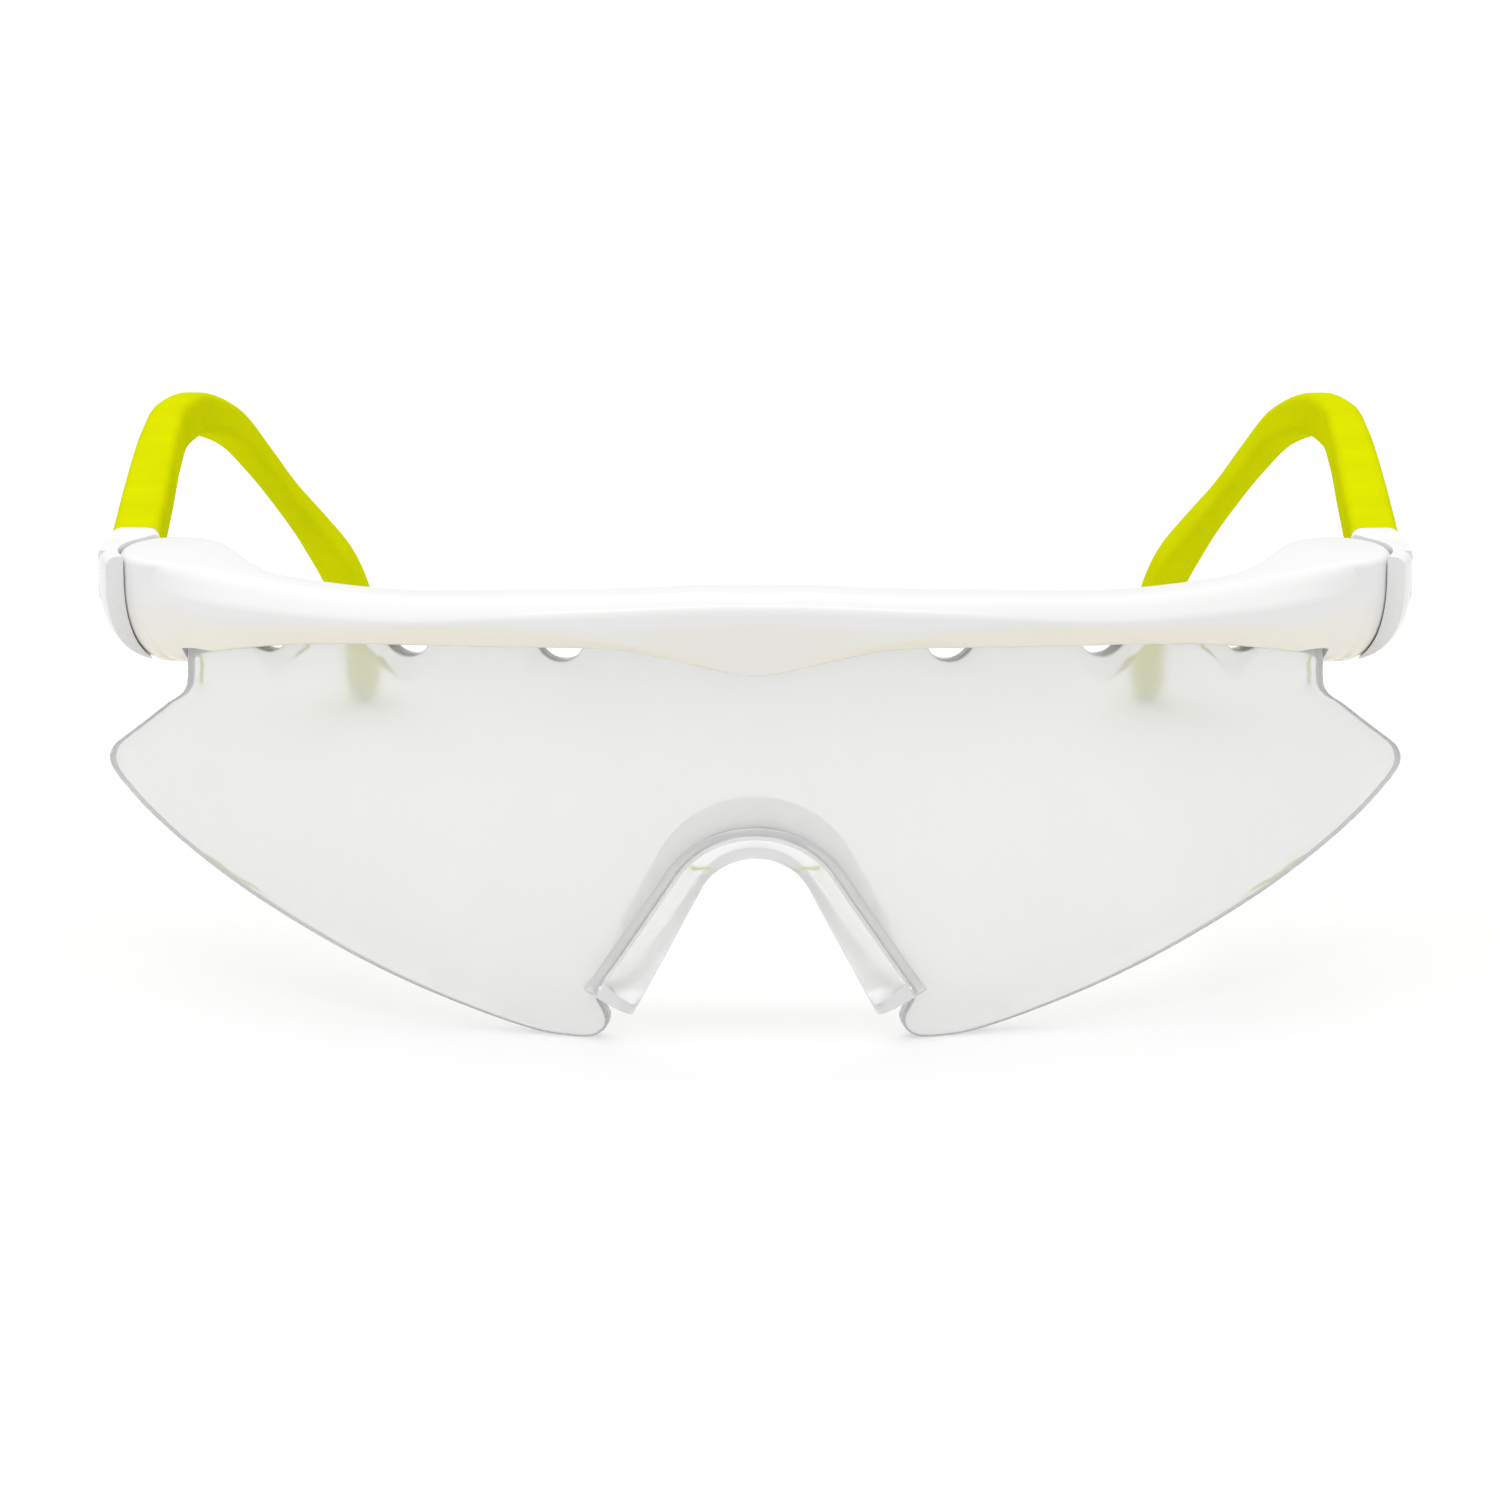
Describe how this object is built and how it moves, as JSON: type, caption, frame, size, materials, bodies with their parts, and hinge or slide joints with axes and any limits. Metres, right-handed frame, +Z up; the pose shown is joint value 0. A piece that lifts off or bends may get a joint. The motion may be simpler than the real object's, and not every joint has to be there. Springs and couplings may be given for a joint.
{
  "type": "sports protective goggles",
  "caption": "Wraparound protective goggles with a clear shield lens, white browbar, soft nose pad and folding lime temples with ear hooks.",
  "frame": {"origin": "middle of the footprint, on the surface that the goggles stand on (lens lobes and ear-hook tips)", "axes": "+Z up, +X to the right seen from the front, +Y from the lens back towards the ear hooks"},
  "size_m": [0.1546, 0.1548, 0.0543],
  "materials": {
    "white_frame": "gloss, opaque white",
    "white_hinge_end": "semi-gloss, opaque white",
    "clear_lens": "clear polycarbonate, polished",
    "clear_soft": "clear soft vinyl, slightly hazy",
    "lime_rubber": "satin lime rubber",
    "steel": "plain machined steel",
    "brass": "plain machined brass"
  },
  "bodies": {
    "front": {"browbar": "white_frame", "lens": "clear_lens", "nose_pad": "clear_soft", "left_hinge_screw": "steel", "right_hinge_screw": "steel", "left_screw_insert": "brass", "right_screw_insert": "brass"},
    "left_temple": {"left_hinge_end": "white_hinge_end", "left_temple_sleeve": "lime_rubber", "left_core_wire": "steel"},
    "right_temple": {"right_hinge_end": "white_hinge_end", "right_temple_sleeve": "lime_rubber", "right_core_wire": "steel"}
  },
  "joints": [
    {"name": "left_temple_fold", "type": "hinge", "parent": "front", "child": "left_temple", "pos_m": [-0.0675, -0.041, 0.045], "axis": [0, 0, -1], "range_deg": [0, 85]},
    {"name": "right_temple_fold", "type": "hinge", "parent": "front", "child": "right_temple", "pos_m": [0.0675, -0.041, 0.045], "axis": [0, 0, 1], "range_deg": [0, 75]}
  ]
}
